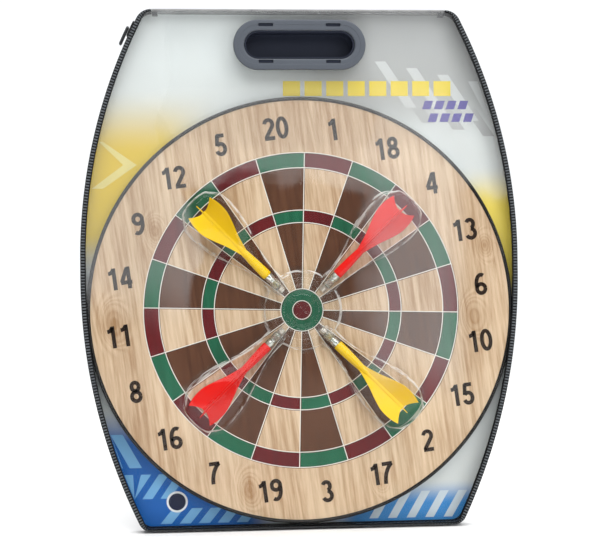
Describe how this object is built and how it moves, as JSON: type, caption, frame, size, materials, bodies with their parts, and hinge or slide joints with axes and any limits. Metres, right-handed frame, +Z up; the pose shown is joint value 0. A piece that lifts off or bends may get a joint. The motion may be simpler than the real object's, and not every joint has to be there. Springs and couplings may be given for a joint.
{
  "type": "magnetic dartboard in a carry case",
  "caption": "Round magnetic dartboard with wood-grain printed face, flighted darts under a clear tray, in a barrel-shaped zip case with clear front flap and oval grip.",
  "frame": {"origin": "point of the case's flat rear face straight behind the bull", "axes": "+Z up along the case, towards its grip; the front faces -Y; +X to the viewer's right"},
  "size_m": [0.392, 0.048, 0.4634],
  "materials": {
    "black_sheet": "matt black soft PVC sheet",
    "black_tape": "woven black polyester tape",
    "black_teeth": "moulded black acetal",
    "slate_plastic": "satin slate-black moulded plastic",
    "card_print": "glossy printed card in greys, yellow and blue",
    "clear_sheet": "clear soft PVC, wavy and glossy",
    "clear_tray": "clear vacuum-formed sheet",
    "printed_tinplate": "tinplate printed with a wood-grain dartboard",
    "fibreboard": "raw hardboard",
    "rim_black": "glossy black rolled edge",
    "back_paper": "matt black backing sheet",
    "zinc": "zinc-plated steel",
    "nickel": "bright nickel plating",
    "barrel_metal": "turned silver barrel",
    "yellow_plastic": "glossy yellow plastic",
    "red_plastic": "glossy red plastic"
  },
  "bodies": {
    "case": {"rear_panel": "black_sheet", "card_insert": "card_print", "gusset_left": "black_sheet", "gusset_right": "black_sheet", "gusset_bottom": "black_sheet", "gusset_top": "clear_sheet", "top_fold": "clear_sheet", "zip_tape_rear": "black_tape", "zip_teeth_rear": "black_teeth", "zip_stop_left": "black_teeth", "zip_stop_right": "black_teeth"},
    "flap": {"zip_teeth_front": "black_teeth", "zip_tape_front": "black_tape", "edge_binding": "black_tape", "window_sheet": "clear_sheet", "handle_bezel": "slate_plastic", "handle_cup": "slate_plastic"},
    "board": {"board_rim": "rim_black", "face_sheet": "printed_tinplate", "core_disc": "fibreboard", "backing_sheet": "back_paper", "hanger_plate": "zinc", "hanger_rivet_1": "zinc", "hanger_rivet_2": "zinc"},
    "tray": {"blister_tray": "clear_tray"},
    "zip_slider": {"zip_slider": "black_teeth"},
    "zip_puller": {"zip_puller": "black_teeth"},
    "dart_1": {"dart_1_magnet": "nickel", "dart_1_barrel": "barrel_metal", "dart_1_flight": "yellow_plastic"},
    "dart_2": {"dart_2_magnet": "nickel", "dart_2_barrel": "barrel_metal", "dart_2_flight": "red_plastic"},
    "dart_3": {"dart_3_magnet": "nickel", "dart_3_barrel": "barrel_metal", "dart_3_flight": "red_plastic"},
    "dart_4": {"dart_4_magnet": "nickel", "dart_4_barrel": "barrel_metal", "dart_4_flight": "yellow_plastic"}
  },
  "joints": [
    {"name": "flap_hinge", "type": "hinge", "parent": "case", "child": "flap", "pos_m": [0, -0.01525, 0.2674], "axis": [-1, 0, 0], "range_deg": [0, 150]},
    {"name": "slider_run", "type": "hinge", "parent": "case", "child": "zip_slider", "pos_m": [0.281, -0.00915, 0.045], "axis": [0, -1, 0], "range_deg": [0, 22]},
    {"name": "puller_hinge", "type": "hinge", "parent": "zip_slider", "child": "zip_puller", "pos_m": [-0.15215, -0.00915, 0.25253], "axis": [0, 1, 0], "range_deg": [0, 150]},
    {"name": "board_lift", "type": "slide", "parent": "case", "child": "board", "axis": [0, -1, 0], "range_m": [0, 0.12]},
    {"name": "tray_lift", "type": "slide", "parent": "board", "child": "tray", "axis": [0, -1, 0], "range_m": [0, 0.132]},
    {"name": "dart_1_lift", "type": "slide", "parent": "board", "child": "dart_1", "axis": [0, -1, 0], "range_m": [0, 0.07]},
    {"name": "dart_2_lift", "type": "slide", "parent": "board", "child": "dart_2", "axis": [0, -1, 0], "range_m": [0, 0.07]},
    {"name": "dart_3_lift", "type": "slide", "parent": "board", "child": "dart_3", "axis": [0, -1, 0], "range_m": [0, 0.07]},
    {"name": "dart_4_lift", "type": "slide", "parent": "board", "child": "dart_4", "axis": [0, -1, 0], "range_m": [0, 0.07]}
  ],
  "couplings": [
    {"joint": "board_lift", "follows": "flap_hinge", "m_per_rad": 0.045},
    {"joint": "tray_lift", "follows": "flap_hinge", "m_per_rad": 0.05},
    {"joint": "dart_1_lift", "follows": "flap_hinge", "m_per_rad": 0.025},
    {"joint": "dart_2_lift", "follows": "flap_hinge", "m_per_rad": 0.025},
    {"joint": "dart_3_lift", "follows": "flap_hinge", "m_per_rad": 0.025},
    {"joint": "dart_4_lift", "follows": "flap_hinge", "m_per_rad": 0.025}
  ]
}
